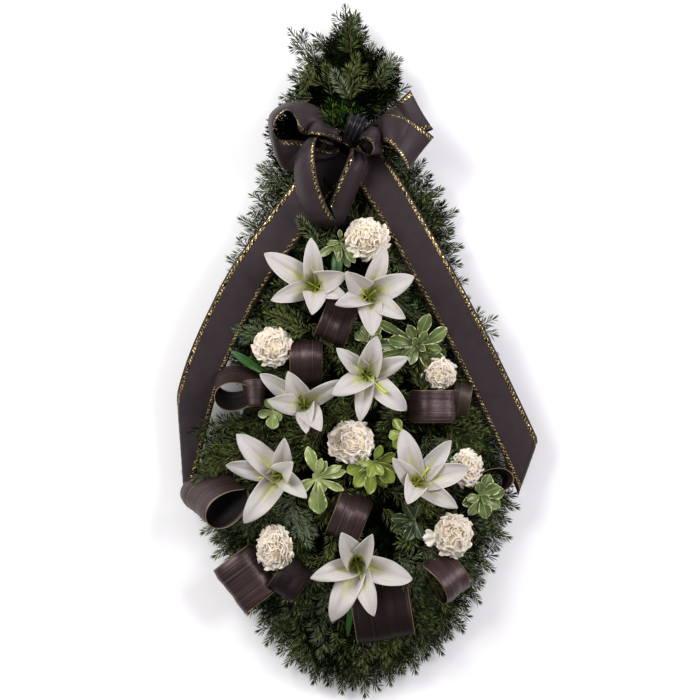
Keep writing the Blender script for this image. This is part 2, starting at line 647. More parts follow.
def sheet(name, rows, thick, material, smooth=1, back=None):
    """A thin sheet through points rows[along][across]: a grid laid on them, smoothed and given a wall."""
    rows = np.asarray(rows, float)
    along, across = rows.shape[:2]
    deselect()
    bpy.ops.mesh.primitive_grid_add(x_subdivisions=across - 1, y_subdivisions=along - 1, size=1)
    piece = bpy.context.object
    piece.name = name
    piece.data.vertices.foreach_set("co", rows.reshape(-1, 3).ravel())
    piece.data.update()
    piece.data.materials.append(material)
    if smooth:
        rounded = piece.modifiers.new("rounded", "SUBSURF")
        rounded.levels = rounded.render_levels = smooth
        bpy.ops.object.modifier_apply(modifier="rounded")
    wall = piece.modifiers.new("wall", "SOLIDIFY")
    wall.thickness = thick
    wall.offset = 0
    if back:
        piece.data.materials.append(back)
        wall.material_offset = 1
    bpy.ops.object.modifier_apply(modifier="wall")
    bpy.ops.object.shade_smooth()
    return piece


def rod(name, points, radii, material, sides):
    """A thin round stem along the points, with both ends closed."""
    points = [Vector(p) for p in points]
    radii = [float(r) for r in radii]
    rings = []
    for k, p in enumerate(points):
        along = (points[min(k + 1, len(points) - 1)] - points[max(k - 1, 0)]).normalized()
        side = along.orthogonal() if k == 0 else side - side.dot(along) * along
        side.normalize()
        other = along.cross(side)
        turn = [2 * math.pi * n / sides for n in range(sides)]
        rings.append([p + radii[k] * (math.cos(a) * side + math.sin(a) * other) for a in turn])
    shape = bmesh.new()
    verts = [[shape.verts.new(v) for v in ring] for ring in rings]
    for a, b in zip(verts, verts[1:]):
        for n in range(sides):
            m = (n + 1) % sides
            shape.faces.new((a[n], a[m], b[m], b[n]))
    shape.faces.new(list(reversed(verts[0])))
    shape.faces.new(verts[-1])
    data = bpy.data.meshes.new(name)
    shape.to_mesh(data)
    shape.free()
    data.materials.append(material)
    made = bpy.data.objects.new(name, data)
    bpy.context.scene.collection.objects.link(made)
    for face in data.polygons:
        face.use_smooth = True
    return made


def join(name, pieces):
    """The pieces as one object of that name."""
    deselect()
    for piece in pieces:
        piece.select_set(True)
    bpy.context.view_layer.objects.active = pieces[0]
    bpy.ops.object.join()
    pieces[0].name = name
    pieces[0].data.name = name
    return pieces[0]


def hand_over(piece, node):
    """The piece rides with the wreath and takes the place of its CAD node, where it has one."""
    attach(piece, "root")
    if node:
        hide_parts(node)


def leaning(azimuth, tilt):
    """The direction at that angle from +X in the face, `tilt` degrees from upright."""
    a, t = math.radians(azimuth), math.radians(tilt)
    return Vector((math.cos(a) * math.sin(t), math.sin(a) * math.sin(t), math.cos(t)))


UP = Vector((0, 0, 1))


# ---- lilies ---------------------------------------------------------------------------------------
def lily_petal():
    """Lily tepal: thick satin white, slightly translucent, with a green streak fading up its midrib."""
    made, tree, shader = new_material("lily_tepal", Roughness=0.5, IOR=1.4)
    shader.inputs["Subsurface Weight"].default_value = 0.4
    shader.inputs["Subsurface Radius"].default_value = (1.0, 0.9, 0.6)
    shader.inputs["Subsurface Scale"].default_value = 6 * MM
    uv, side, along = across_and_along(tree)
    streak = add(
        tree,
        "ShaderNodeMapRange",
        {"Value": side, "From Min": 0.06, "From Max": 0.36, "To Min": 1, "To Max": 0},
    ).outputs["Result"]
    low = add(
        tree,
        "ShaderNodeMapRange",
        {"Value": along, "From Min": 0.5, "From Max": 0.74, "To Min": 1, "To Max": 0},
    ).outputs["Result"]
    deep = add(
        tree,
        "ShaderNodeMapRange",
        {"Value": along, "From Min": 0.4, "From Max": 0.54, "To Min": 0.62, "To Max": 0},
    ).outputs["Result"]
    fading = add(tree, "ShaderNodeMath", {0: streak, 1: low}, operation="MULTIPLY").outputs[0]
    green = add(tree, "ShaderNodeMath", {0: fading, 1: deep}, operation="MAXIMUM").outputs[0]
    stretch = add(tree, "ShaderNodeMapping", {"Vector": uv, "Scale": (46, 2.2, 1)}).outputs["Vector"]
    vein = add(tree, "ShaderNodeTexNoise", {"Vector": stretch, "Scale": 1.0, "Detail": 2.0}).outputs["Fac"]
    tip = add(
        tree, "ShaderNodeMapRange", {"Value": along, "From Min": 0.97, "From Max": 1.0, "To Max": 0.3}
    ).outputs["Result"]
    white = add(tree, "ShaderNodeMix", {0: vein, 6: srgb("#a59f9a"), 7: srgb("#d4cec9")}, data_type="RGBA")
    tipped = add(tree, "ShaderNodeMix", {0: tip, 6: white.outputs[2], 7: srgb("#c9cf86")}, data_type="RGBA")
    streaked = add(
        tree,
        "ShaderNodeMapRange",
        {"Value": vein, "From Min": 0.3, "From Max": 0.62, "To Min": 0.72, "To Max": 1.0},
    ).outputs["Result"]
    strength = add(tree, "ShaderNodeMath", {0: green, 1: streaked}, operation="MULTIPLY").outputs[0]
    greenish = {0: strength, 6: tipped.outputs[2], 7: srgb("#d6dc80")}
    tinted = add(tree, "ShaderNodeMix", greenish, data_type="RGBA")
    tree.links.new(tinted.outputs[2], shader.inputs["Base Color"])
    bump = add(tree, "ShaderNodeBump", {"Height": vein, "Strength": 0.7, "Distance": 1 * MM})
    tree.links.new(bump.outputs["Normal"], shader.inputs["Normal"])
    return made


def plain_green(name, dark, light, roughness, grain=STEM_MOTTLE):
    """Fresh green plant tissue with slight mottling."""
    made, tree, shader = new_material(name, Roughness=roughness, IOR=1.42)
    _, colour = mottled(tree, grain, 2.0, dark, light)
    tree.links.new(colour, shader.inputs["Base Color"])
    return made


LILY = lily_petal()
FILAMENT = plain_green("lily_filament", "#a3b03a", "#cfd66c", 0.45)
STALK = plain_green("flower_stalk", "#2f4a22", "#56703a", 0.5)
LILY_LEAF = plain_green("lily_leaf", "#24401c", "#3f6a2c", 0.36, LILY_LEAF_MOTTLE)

# A tepal from the side, from its foot in the throat to its tip: how far out and how far up each point is.
TEPAL_SIDE = [(2, -27), (3, -17), (4.2, -8), (9.5, 1.5), (28, 11), (50, 17), (70, 15), (87, 7)]
# Half its width at shares of its length.
TEPAL_HALF = [
    (0, 2.2), (0.15, 6), (0.3, 12.5), (0.46, 18), (0.6, 20), (0.74, 19), (0.86, 13.6),
    (0.94, 8.0), (0.98, 4.2), (1, 0.9),
]
TEPAL_THICKNESS = 0.9 * MM
TEPAL_ROWS = 17
TEPAL_ACROSS = np.array([-1, -0.78, -0.52, -0.26, -0.1, 0, 0.1, 0.26, 0.52, 0.78, 1])

# Throat, heading and tilt of each flower, its size against a full one, and each tepal's angle in the face
# with how far its tip reaches.
LILIES = {
    "lily_top_left": (
        (-56, 102, 110), 150, 30, 1.0,
        [(151, 95), (94, 76), (16, 52), (339, 54), (256, 46), (197, 73)],
    ),
    "lily_top_right": (
        (30, 86, 115), 40, 26, 1.0,
        [(23, 78), (73, 82), (135, 52), (203, 54), (270, 64), (330, 68)],
    ),
    "lily_middle": (
        (27, -41, 120), 318, 24, 0.94,
        [(318, 84), (17, 71), (74, 65), (141, 65), (215, 62), (268, 73)],
    ),
    "lily_middle_left": (
        (-73, -86, 118), 92, 34, 0.94,
        [(114, 57), (141, 84), (165, 56), (270, 46), (298, 50), (37, 75)],
    ),
    "lily_left": (
        (-111, -199, 104), 188, 38, 1.02,
        [(140, 96), (170, 88), (232, 96), (317, 54), (45, 30), (92, 60)],
    ),
    "lily_right": (
        (106, -211, 108), 52, 36, 0.98,
        [(10, 88), (52, 87), (100, 89), (124, 56), (248, 34), (323, 76)],
    ),
    "lily_foot": (
        (11, -340, 113), 285, 28, 1.06,
        [(350, 91), (293, 86), (248, 101), (190, 76), (124, 57), (65, 56)],
    ),
}
# How far the pistil stands out, where it shows; elsewhere it stays in the throat.
PISTILS = {"lily_middle": 56, "lily_left": 38, "lily_right": 36}
HIDDEN_PISTIL = 18
THROAT_DEPTH = 27
FLATTEST = 0.97  # the share of its length that a tepal reaches at most before it is drawn out
OPENS_BY = 30  # how far out from the flower's axis a tepal's lift is complete
OUTER_WIDTH = 0.8  # of an inner tepal's
OUTER_LOWER = 3.5  # how far the outer whorl lies below the inner one
# A stem's long leaves that show beside the flower: foot, tip and half width.
LILY_LEAVES = {
    "lily_middle_left": [((-140, -35, 88), (-192, 0, 84), 7)],
    "lily_left": [((-126, -182, 98), (-174, -130, 92), 9)],
    "lily_top_left": [((-22, 112, 104), (-20, 163, 98), 9)],
    "lily_foot": [((2, -404, 92), (-4, -460, 80), 5)],
}
LEAF_ACROSS = (-1, -0.5, 0, 0.5, 1)
LEAF_FOLD = 0.35


def tepal(throat, axis, angle, reach, outer, size, rng):
    """One tepal: up the throat along the flower's axis, then out at `angle` as far as `reach`."""
    side = smooth_line(TEPAL_SIDE, TEPAL_ROWS) * size
    limit = math.hypot(*side[-1])
    # A reach shorter than the tepal lifts it, and a longer one draws it out.
    side *= max(1, reach / (FLATTEST * limit))
    steepness = math.acos(min(1, reach / max(limit, reach / FLATTEST)))
    lift = steepness - math.atan2(side[-1][1], side[-1][0])
    curl, sway, twist = rng.uniform(-0.3, 1.0), rng.uniform(-10, 10), rng.uniform(-0.38, 0.38)
    out = Vector((math.cos(math.radians(angle)), math.sin(math.radians(angle)), 0))
    wide = UP.cross(out)
    spine = []
    for r, h in side:
        share = min(1, max(0, r / (OPENS_BY * size)))
        turn = lift * share
        low = OUTER_LOWER * size * share if outer else 0
        far = r * math.cos(turn) - h * math.sin(turn)
        high = r * math.sin(turn) + h * math.cos(turn) - low
        spine.append((float(far), float(high)))
    phase = rng.uniform(0, 6)
    rows = []
    for k, (r, h) in enumerate(spine):
        t = k / (TEPAL_ROWS - 1)
        rise = UP if h > 0 else axis
        a, b = spine[max(k - 1, 0)], spine[min(k + 1, TEPAL_ROWS - 1)]
        flow = Vector((b[0] - a[0], b[1] - a[1])).normalized()
        normal = out * -flow.y + rise * flow.x
        half = np.interp(t, *zip(*TEPAL_HALF)) * size * (OUTER_WIDTH if outer else 1)
        centre = throat + (out * r + rise * h + wide * (sway * t * t)) * MM
        row = []
        for s in TEPAL_ACROSS:
            groove = 2.4 * math.exp(-((s / 0.13) ** 2)) + 0.5 * math.exp(-(((abs(s) - 0.55) / 0.12) ** 2))
            groove *= math.sin(math.pi * min(1, t * 1.1))
            cup = half * 0.4 * s * s * (1.5 - t) - groove + half * twist * s * t
            wave = 8.5 * abs(s) ** 3 * math.sin(7.5 * t + phase + 2.2 * s) * math.sin(math.pi * t) ** 0.5
            back = curl * 60 * max(0, t - 0.78) ** 1.5 * (0.7 + 0.3 * abs(s))
            row.append(centre + (wide * (s * half) + normal * (cup + wave - back)) * MM)
        rows.append(row)
    return sheet("tepal", rows, TEPAL_THICKNESS, LILY)


def long_leaf(foot, tip, half):
    """A narrow pointed leaf, folded a little along its midrib, `half` millimetres to each side of it."""
    foot, tip = at(*foot), at(*tip)
    across = (tip - foot).cross(UP).normalized()
    rows = []
    for t in np.linspace(0, 1, 11):
        wide = half * MM * math.sin(math.pi * (0.12 + 0.88 * t)) ** 0.7
        middle = foot.lerp(tip, t) + UP * 5 * MM * math.sin(math.pi * t)
        rows.append([middle + across * (wide * s) + UP * (abs(s) * wide * LEAF_FOLD) for s in LEAF_ACROSS])
    return sheet("leaf", rows, 0.6 * MM, LILY_LEAF)


def lily(node, throat, faces, tilt, size, tips):
    """One bloom: two whorls of tepals, six filaments, the pistil, the neck, its leaves and its stalk."""
    rng = np.random.default_rng(abs(int(throat[0] * 7 + throat[1])))
    centre = at(*throat)
    axis = leaning(faces, tilt)
    base = centre - axis * THROAT_DEPTH * size * MM
    parts = []
    for n, (angle, reach) in enumerate(tips):
        parts.append(tepal(centre, axis, angle, reach, n % 2 == 1, size, rng))
    for n in range(6):
        spread = tilt + 14 + 10 * math.cos(math.radians(60 * n))
        end = centre + leaning(faces + 60 * n, spread) * rng.uniform(24, 36) * MM
        line = smooth_line([base + axis * 6 * MM, centre - axis * 4 * MM, end], 7)
        parts.append(rod("filament", line, np.linspace(1.3, 0.7, 7) * MM, FILAMENT, 6))
    end = centre + leaning(faces, min(62, tilt + 26)) * PISTILS.get(node, HIDDEN_PISTIL) * size * MM
    line = smooth_line([base, centre + axis * 6 * MM, end], 9)
    parts.append(rod("pistil", line, [2.4 * MM] * 2 + [1.5 * MM] * 5 + [1.9 * MM, 2.8 * MM], FILAMENT, 8))
    for foot, tip, half in LILY_LEAVES.get(node, []):
        parts.append(long_leaf(foot, tip, half))
    foot = stem_foot(node)
    bend = Vector((foot.x, foot.y, base.z - 6 * MM))
    parts.append(rod("stalk", [foot, bend, base + axis * 4 * MM], [3.5 * MM] * 3, STALK, 8))
    swell = [base - axis * 6 * MM, base + axis * 2 * MM, base + axis * 9 * MM]
    parts.append(rod("neck", swell, [3.6 * MM, 4.6 * MM, 5 * MM], STALK, 10))
    hand_over(join(node + "_bloom", parts), node)


for node, spec in LILIES.items():
    lily(node, *spec)


# ---- carnations -----------------------------------------------------------------------------------
def carnation_petal():
    """Carnation petal: thin, matt and warm ivory, a deeper cream towards the heart of the head."""
    made, tree, shader = new_material("carnation_petal", Roughness=0.7, IOR=1.4)
    shader.inputs["Subsurface Weight"].default_value = 0.3
    shader.inputs["Subsurface Radius"].default_value = (1.0, 0.85, 0.65)
    shader.inputs["Subsurface Scale"].default_value = 3 * MM
    deep = add(tree, "ShaderNodeAttribute", attribute_name="tone").outputs["Fac"]
    _, pale = mottled(tree, PETAL_MOTTLE, 2.0, "#e2d8ca", "#efe7dc")
    colour = add(tree, "ShaderNodeMix", {0: deep, 6: pale, 7: srgb("#e6d3ae")}, data_type="RGBA")
    tree.links.new(colour.outputs[2], shader.inputs["Base Color"])
    return made


CARNATION = carnation_petal()
PETALS = 42
# Half a petal's width at shares of its length, against its spread, and its thickness against its length.
PETAL_HALF = ([0, 0.3, 0.55, 0.8, 1], [0.05, 0.12, 0.46, 0.72, 0.78])
PETAL_THICKNESS = 0.028
INNER_SHARE = 0.4  # of a head's petals stand up in its middle
GOLDEN_ANGLE = 137.5  # the turn from one petal to the next

# Place, radius, width and height as seen from above, heading and tilt of each head.
CARNATIONS = {
    "carnation_top": ((26, 178, 108), 33, 71, 67, 90, 0),
    "carnation_left": ((-123, 5, 102), 31, 65, 64, 0, 0),
    "carnation_right": ((143, -38, 98), 28, 54, 54, 0, 0),
    "carnation_middle": ((2, -146, 108), 33, 74, 69, 90, 9),
    "carnation_far_right": ((190, -188, 90), 28, 54, 62, 20, 25),
    "carnation_low_right": ((166, -297, 102), 32, 62, 72, 300, 12),
    "carnation_low_left": ((-122, -317, 102), 31, 62, 74, 200, 20),
}


def petal_shape(seed, ruffled, spread):
    """Points and triangles of a petal 1 long along +X: a fan with a ruffled, finely toothed edge."""
    rng = np.random.default_rng(seed)
    across, along = 13, 6
    rows = []
    waves = rng.uniform(1.9, 2.7)
    phase = rng.uniform(0, 6.3)
    for i in range(along):
        t = i / (along - 1)
        row = []
        for j in range(across):
            s = 2 * j / (across - 1) - 1
            half = spread * np.interp(t, *PETAL_HALF)
            tooth = (0.035 if j % 2 else -0.015) * (t > 0.95) * rng.uniform(0.5, 1.5)
            fan = 1 - 0.24 * s * s * t
            ruffle = ruffled * t**2 * math.sin(waves * math.pi * s + phase)
            ruffle += 0.03 * t**3 * math.sin(7 * s + phase)
            row.append((t * fan + tooth, half * s, ruffle + 0.08 * t * t))
        rows.append(row)
    petal = sheet("petal", rows, PETAL_THICKNESS, CARNATION, 0)
    points, faces = arrays_of(petal)
    take_away(petal)
    return points, faces


def core_shape():
    """What shows between the petals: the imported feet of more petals, as one flattened ball."""
    deselect()
    bpy.ops.mesh.primitive_ico_sphere_add(subdivisions=4, radius=1)
    ball = finish_shape(bpy.context.object)
    points, faces = arrays_of(ball)
    take_away(ball)
    x, y, z = points[:, :1], points[:, 1:2], points[:, 2:]
    points *= 1 + 0.05 * np.sin(11 * x + 4 * np.sin(5 * y)) * np.sin(10 * y + 5 * z + 3 * np.sin(6 * x))
    below = np.clip(-points[:, 2:], 0, 1)
    furrows = 1 + 0.05 * below * np.sin(14 * np.arctan2(points[:, 1:2], points[:, :1]))
    points[:, :2] *= (1 - 0.66 * below**0.8) * furrows
    return points, faces


INNER_PETALS = [petal_shape(seed, 0.11, 1.05) for seed in (1, 2, 3, 4)]
OUTER_PETALS = [petal_shape(seed, 0.07, 1.3) for seed in (5, 6, 7, 8)]
CORE = core_shape()


def fallen_petal():
    """The petal that has come loose from one head and lies beside it: its points and triangles."""
    length, width, depth = 35, 14.5, 35
    place = Matrix.Translation(at(152, -297, 95)) @ Matrix.Rotation(math.radians(187), 4, "Z")
    place = place @ Matrix.Rotation(math.radians(6), 4, "Y")
    shape, triangles = OUTER_PETALS[1]
    return moved(shape * np.array([length, width, depth]) * MM, place), triangles


def carnation(node, place, radius, wide, tall, faces, tilt):
    """One head: its petals around a packed heart, squashed to its size, on its calyx and its stalk."""
    rng = np.random.default_rng(int(abs(place[0]) + radius))
    axis = leaning(faces, tilt)
    centre = at(*place) - axis * radius * 0.42 * MM
    frame_of_head = axis.to_track_quat("Z", "Y").to_matrix().to_4x4()
    squash = Matrix.Diagonal((wide / (2.5 * radius), tall / (2.5 * radius), 1, 1))
    points, triangles, depth, total = [], [], [], 0
    for n in range(PETALS):
        share = (n + 0.5) / PETALS
        inner = share < INNER_SHARE
        # Petals stand nearly upright in the middle and hang a little at the rim.
        rise = math.radians(84 - 92 * share**0.75 + rng.normal(0, 4))
        fuller = np.interp(share, [0, 0.3, 0.7, 1], [1.06, 1.12, 1.12, 1.06])
        reach = radius * fuller * rng.uniform(0.9, 1.06)
        turn = Matrix.Rotation(math.radians(GOLDEN_ANGLE * n), 4, "Z")
        lift = Matrix.Rotation(-rise, 4, "Y")
        roll = Matrix.Rotation(rng.normal(0, 0.4 if inner else 0.16), 4, "X")
        size = Matrix.Diagonal((reach * MM, reach * MM * rng.uniform(0.85, 1), reach * MM, 1))
        put = Matrix.Translation(centre) @ squash @ frame_of_head @ turn @ lift @ roll @ size
        shape, faces_of_shape = (INNER_PETALS if inner else OUTER_PETALS)[n % 4]
        points.append(moved(shape, put))
        triangles.append(faces_of_shape + total)
        depth.append(np.clip(1.15 - 1.25 * shape[faces_of_shape][:, :, 0].mean(1), 0, 1))
        total += len(shape)
    core, core_faces = CORE
    points.append(moved(core * radius * 0.95 * MM, Matrix.Translation(centre) @ squash @ frame_of_head))
    triangles.append(core_faces + total)
    depth.append(np.full(len(core_faces), 0.7))
    total += len(core)
    if node == "carnation_low_right":
        fallen, fallen_faces = fallen_petal()
        points.append(fallen)
        triangles.append(fallen_faces + total)
        depth.append(np.zeros(len(fallen_faces)))
    tones = {"tone": np.concatenate(depth)}
    head = object_from("head", np.concatenate(points), np.concatenate(triangles), [CARNATION], tones)
    head.data.polygons.foreach_set("use_smooth", [True] * len(head.data.polygons))
    foot = stem_foot(node)
    low = centre - axis * 26 * MM
    cup_line = [low, low + axis * 3 * MM, low + axis * 24 * MM, low + axis * 29 * MM]
    calyx = rod("calyx", cup_line, [2.5 * MM, 5.5 * MM, 7.5 * MM, 8 * MM], STALK, 12)
    bend = Vector((foot.x, foot.y, low.z))
    stalk = rod("stalk", [foot, bend, low + axis * 2 * MM], [2.6 * MM] * 3, STALK, 8)
    hand_over(join(node + "_bloom", [head, calyx, stalk]), node)


for node, spec in CARNATIONS.items():
    carnation(node, *spec)


# ---- variegated pittosporum -----------------------------------------------------------------------
def variegated_leaf(name, dark, light, cream):
    """Pittosporum leaf: glossy grey-green middle with an irregular cream margin and a pale midrib."""
    made, tree, shader = new_material(name, Roughness=0.3, IOR=1.5)
    _, side, along = across_and_along(tree)
    place = add(tree, "ShaderNodeTexCoord").outputs["Object"]
    blot = add(
        tree, "ShaderNodeTexNoise", {"Vector": place, "Scale": MARGIN_BLOTS, "Detail": 2.0}
    ).outputs["Fac"]
    end = add(
        tree, "ShaderNodeMapRange", {"Value": along, "From Min": 0.78, "From Max": 1.0, "To Max": 0.5}
    ).outputs["Result"]
    edge = add(tree, "ShaderNodeMath", {0: side, 1: end}, operation="MAXIMUM").outputs[0]
    ragged = add(tree, "ShaderNodeMath", {0: blot, 1: cream, 2: edge}, operation="MULTIPLY_ADD").outputs[0]
    margin = add(
        tree, "ShaderNodeMapRange", {"Value": ragged, "From Min": 0.68, "From Max": 0.74}
    ).outputs["Result"]
    rib = add(
        tree,
        "ShaderNodeMapRange",
        {"Value": side, "From Min": 0.012, "From Max": 0.035, "To Min": 0.45, "To Max": 0},
    ).outputs["Result"]
    _, green = mottled(tree, LEAF_SHADES, 1.0, dark, light)
    ribbed = add(tree, "ShaderNodeMix", {0: rib, 6: green, 7: srgb("#cfd8a0")}, data_type="RGBA")
    margined = {0: margin, 6: ribbed.outputs[2], 7: srgb("#d5d6a6")}
    colour = add(tree, "ShaderNodeMix", margined, data_type="RGBA")
    tree.links.new(colour.outputs[2], shader.inputs["Base Color"])
    return made


OLD_LEAF = variegated_leaf("pittosporum_leaf", "#2b3f1a", "#84945b", 0.49)
SHADED_LEAF = variegated_leaf("pittosporum_shaded_leaf", "#141f0d", "#3c4d2a", 0.36)
LIME_LEAF = variegated_leaf("pittosporum_young_leaf", "#48641a", "#afbc57", 0.42)
CREAM_LEAF = variegated_leaf("pittosporum_cream_leaf", "#64773a", "#b6c384", 0.52)
# The sprigs whose leaves aren't ordinary old ones.
LEAF_OF = {
    "rosette_centre": LIME_LEAF,
    "rosette_centre_left": CREAM_LEAF,
    "rosette_low_right": SHADED_LEAF,
}

# Crown, heading and tilt of each sprig, then its leaves: the way round, length, half width, and how far
# each stands up in degrees.
ROSETTES = {
    "rosette_top": (
        (-15, 174, 96), 0, 0,
        [
            (219, 43, 7, 12), (196, 22, 5, 30), (287, 44, 7, 10), (307, 42, 7, 18),
            (262, 34, 6, 30), (95, 20, 4, 40), (240, 30, 6, 45), (20, 26, 6, 20),
        ],
    ),
    "rosette_right": (
        (108, 8, 96), 0, 0,
        [
            (75, 54, 11, 14), (20, 52, 12, 8), (170, 48, 11, 26), (-18, 40, 10, 20),
            (-40, 50, 13, 6), (-64, 40, 9, 14), (118, 40, 9, 30), (212, 34, 8, 18), (48, 30, 8, 48),
            (250, 34, 8, 34), (330, 22, 6, 60), (140, 22, 6, 60), (150, 74, 10, 3),
            (178, 70, 10, 2), (204, 72, 10, 0),
        ],
    ),
    "rosette_centre_left": (
        (-52, -204, 98), 0, 0,
        [
            (106, 51, 10, 14), (82, 35, 7, 42), (58, 33, 7, 30), (34, 43, 7, 16), (8, 46, 7, 12),
            (-28, 46, 7, 8), (269, 57, 16, 6), (208, 36, 10, 12), (300, 26, 9, 4), (150, 14, 5, 60),
        ],
    ),
    "rosette_centre": (
        (38, -178, 98), 300, 12,
        [
            (200, 46, 12, 10), (228, 50, 12, 8), (255, 52, 11, 16), (282, 46, 11, 6),
            (310, 46, 12, 16), (338, 40, 10, 12), (10, 36, 10, 8), (180, 30, 9, 34),
            (240, 30, 9, 44), (300, 28, 8, 46), (70, 30, 8, 20),
        ],
    ),
    "rosette_far_right": (
        (208, -232, 84), 0, 10,
        [
            (60, 36, 12, 16), (30, 34, 11, 20), (5, 40, 12, 10), (-30, 38, 11, 8),
            (-70, 38, 12, 10), (-110, 36, 11, 12), (-150, 34, 10, 14), (100, 26, 9, 40),
            (200, 26, 9, 40), (320, 22, 8, 50),
        ],
    ),
    "rosette_low_right": (
        (104, -272, 88), 200, 8,
        [
            (120, 34, 9, 20), (170, 38, 9, 10), (210, 40, 10, 8), (250, 36, 10, 12),
            (290, 34, 9, 14), (200, 22, 7, 44), (80, 26, 8, 30),
        ],
    ),
}
# Short side shoots of the same shrub, each grown from the sprig named: crown, then leaves as above.
SIDE_SHOOTS = {
    "rosette_centre_left": [
        ((-122, -96, 96), [(120, 22, 9, 20), (200, 26, 8, 8), (262, 30, 11, 6), (310, 20, 7, 10)]),
    ],
    "rosette_centre": [
        ((84, -132, 94), [(120, 26, 9, 14), (190, 24, 9, 20), (250, 28, 10, 8), (300, 24, 8, 24)]),
    ],
    "rosette_right": [
        ((28, 12, 90), [(60, 34, 10, 8), (100, 28, 9, 16), (140, 26, 9, 10), (20, 26, 8, 30)]),
    ],
}


# Half width of a leaf at shares of its length.
PITTOSPORUM_HALF = ([0, 0.14, 0.4, 0.66, 0.84, 0.95, 1], [0.1, 0.16, 0.66, 1, 0.92, 0.5, 0.12])
PITTOSPORUM_ROWS = 10


def pittosporum_leaf(length, half, place, rng, material):
    """An obovate leaf, broadest beyond its middle, a little cupped, with a soft wavy margin."""
    bend = rng.uniform(0.05, 0.3)
    turn = rng.uniform(-0.14, 0.14)
    phase = rng.uniform(0, 6)
    rows = []
    for k in range(PITTOSPORUM_ROWS):
        t = k / (PITTOSPORUM_ROWS - 1)
        wide = half * np.interp(t, *PITTOSPORUM_HALF)
        row = []
        for s in (-1, -0.6, -0.2, 0.2, 0.6, 1):
            wave = 0.035 * length * math.sin(8 * t + 2 * s + phase) * abs(s)
            up = wide * 0.3 * s * s - length * bend * t * t + wave
            row.append(place @ (Vector((length * t, s * wide + length * turn * t * t, up)) * MM))
        rows.append(row)
    return sheet("leaf", rows, 0.7 * MM, material)


def whorl(head, leaves, rng, material):
    """The leaves around one crown."""
    parts = []
    for around, length, half, rise in leaves:
        place = head @ Matrix.Rotation(math.radians(around), 4, "Z")
        place = place @ Matrix.Rotation(-math.radians(rise), 4, "Y")
        place = place @ Matrix.Rotation(rng.normal(0, 0.25), 4, "X")
        parts.append(pittosporum_leaf(length, half, place, rng, material))
    return parts


def rosette(node, crown, faces, tilt, leaves):
    """One sprig with its side shoots, each on its own stalk."""
    rng = np.random.default_rng(int(abs(crown[0]) + len(leaves)))
    axis = leaning(faces, tilt)
    turned = UP.rotation_difference(axis).to_matrix().to_4x4()
    material = LEAF_OF.get(node, OLD_LEAF)
    parts = whorl(Matrix.Translation(at(*crown)) @ turned, leaves, rng, material)
    foot = stem_foot(node)
    top = at(*crown)
    bend = Vector((foot.x, foot.y, top.z - 12 * MM))
    parts.append(rod("stalk", [foot, bend, top], [2 * MM, 2 * MM, 1.6 * MM], STALK, 6))
    for place, few in SIDE_SHOOTS.get(node, []):
        parts += whorl(Matrix.Translation(at(*place)), few, rng, material)
        parts.append(rod("stalk", [at(*place) - UP * 36 * MM, at(*place)], [1.6 * MM, 1.4 * MM], STALK, 6))
    hand_over(join(node + "_sprig", parts), node)


for node, spec in ROSETTES.items():
    rosette(node, *spec)


# ---- rolled leaves --------------------------------------------------------------------------------
def dyed_leaf(name, dark, light, brown, roughness, shine=0.7):
    """Dyed, glycerined aspidistra: near-black satin with fine raised veins along it and a tan cut edge."""
    made, tree, shader = new_material(name, Roughness=roughness, IOR=1.55)
    shader.inputs["Specular IOR Level"].default_value = shine
    shader.inputs["Specular Tint"].default_value = srgb("#ecd6d6")
    uv, side, _ = across_and_along(tree)
    fine = add(tree, "ShaderNodeMapping", {"Vector": uv, "Scale": (60, 0.5, 1)}).outputs["Vector"]
    vein = add(
        tree, "ShaderNodeTexNoise", {"Vector": fine, "Scale": 1.0, "Detail": 3.0, "Roughness": 0.6}
    ).outputs["Fac"]
    broad = add(tree, "ShaderNodeMapping", {"Vector": uv, "Scale": (9, 0.7, 1)}).outputs["Vector"]
    fold = add(tree, "ShaderNodeTexNoise", {"Vector": broad, "Scale": 1.0, "Detail": 1.0}).outputs["Fac"]
    rim = add(
        tree, "ShaderNodeMapRange", {"Value": side, "From Min": 0.484, "From Max": 0.494, "To Max": 0.8}
    ).outputs["Result"]
    lined = add(
        tree, "ShaderNodeMapRange", {"Value": vein, "From Min": 0.43, "From Max": 0.72}
    ).outputs["Result"]
    veined = add(tree, "ShaderNodeMix", {0: lined, 6: srgb(dark), 7: srgb(light)}, data_type="RGBA")
    warm = add(
        tree, "ShaderNodeMapRange", {"Value": fold, "From Min": 0.45, "From Max": 0.75, "To Max": 0.7}
    ).outputs["Result"]
    patched = add(tree, "ShaderNodeMix", {0: warm, 6: veined.outputs[2], 7: srgb(brown)}, data_type="RGBA")
    cut = {0: rim, 6: patched.outputs[2], 7: srgb("#94805f")}
    colour = add(tree, "ShaderNodeMix", cut, data_type="RGBA")
    tree.links.new(colour.outputs[2], shader.inputs["Base Color"])
    height = add(tree, "ShaderNodeMath", {0: fold, 1: 0.8, 2: vein}, operation="MULTIPLY_ADD").outputs[0]
    bump = add(tree, "ShaderNodeBump", {"Height": height, "Strength": 0.5, "Distance": 1 * MM})
    tree.links.new(bump.outputs["Normal"], shader.inputs["Normal"])
    return made


DYED_LEAF = dyed_leaf("aspidistra_dyed", "#0c0706", "#645152", "#331a11", 0.33)
DULL_LEAF = dyed_leaf("aspidistra_dull", "#070404", "#2c2122", "#1a0e0a", 0.5, 0.4)
OLIVE_LEAF = dyed_leaf("aspidistra_half_dyed", "#120c09", "#57503c", "#332c14", 0.42)
LEAF_INSIDE = dyed_leaf("aspidistra_dyed_inside", "#050304", "#100b0d", "#0b0706", 0.5)

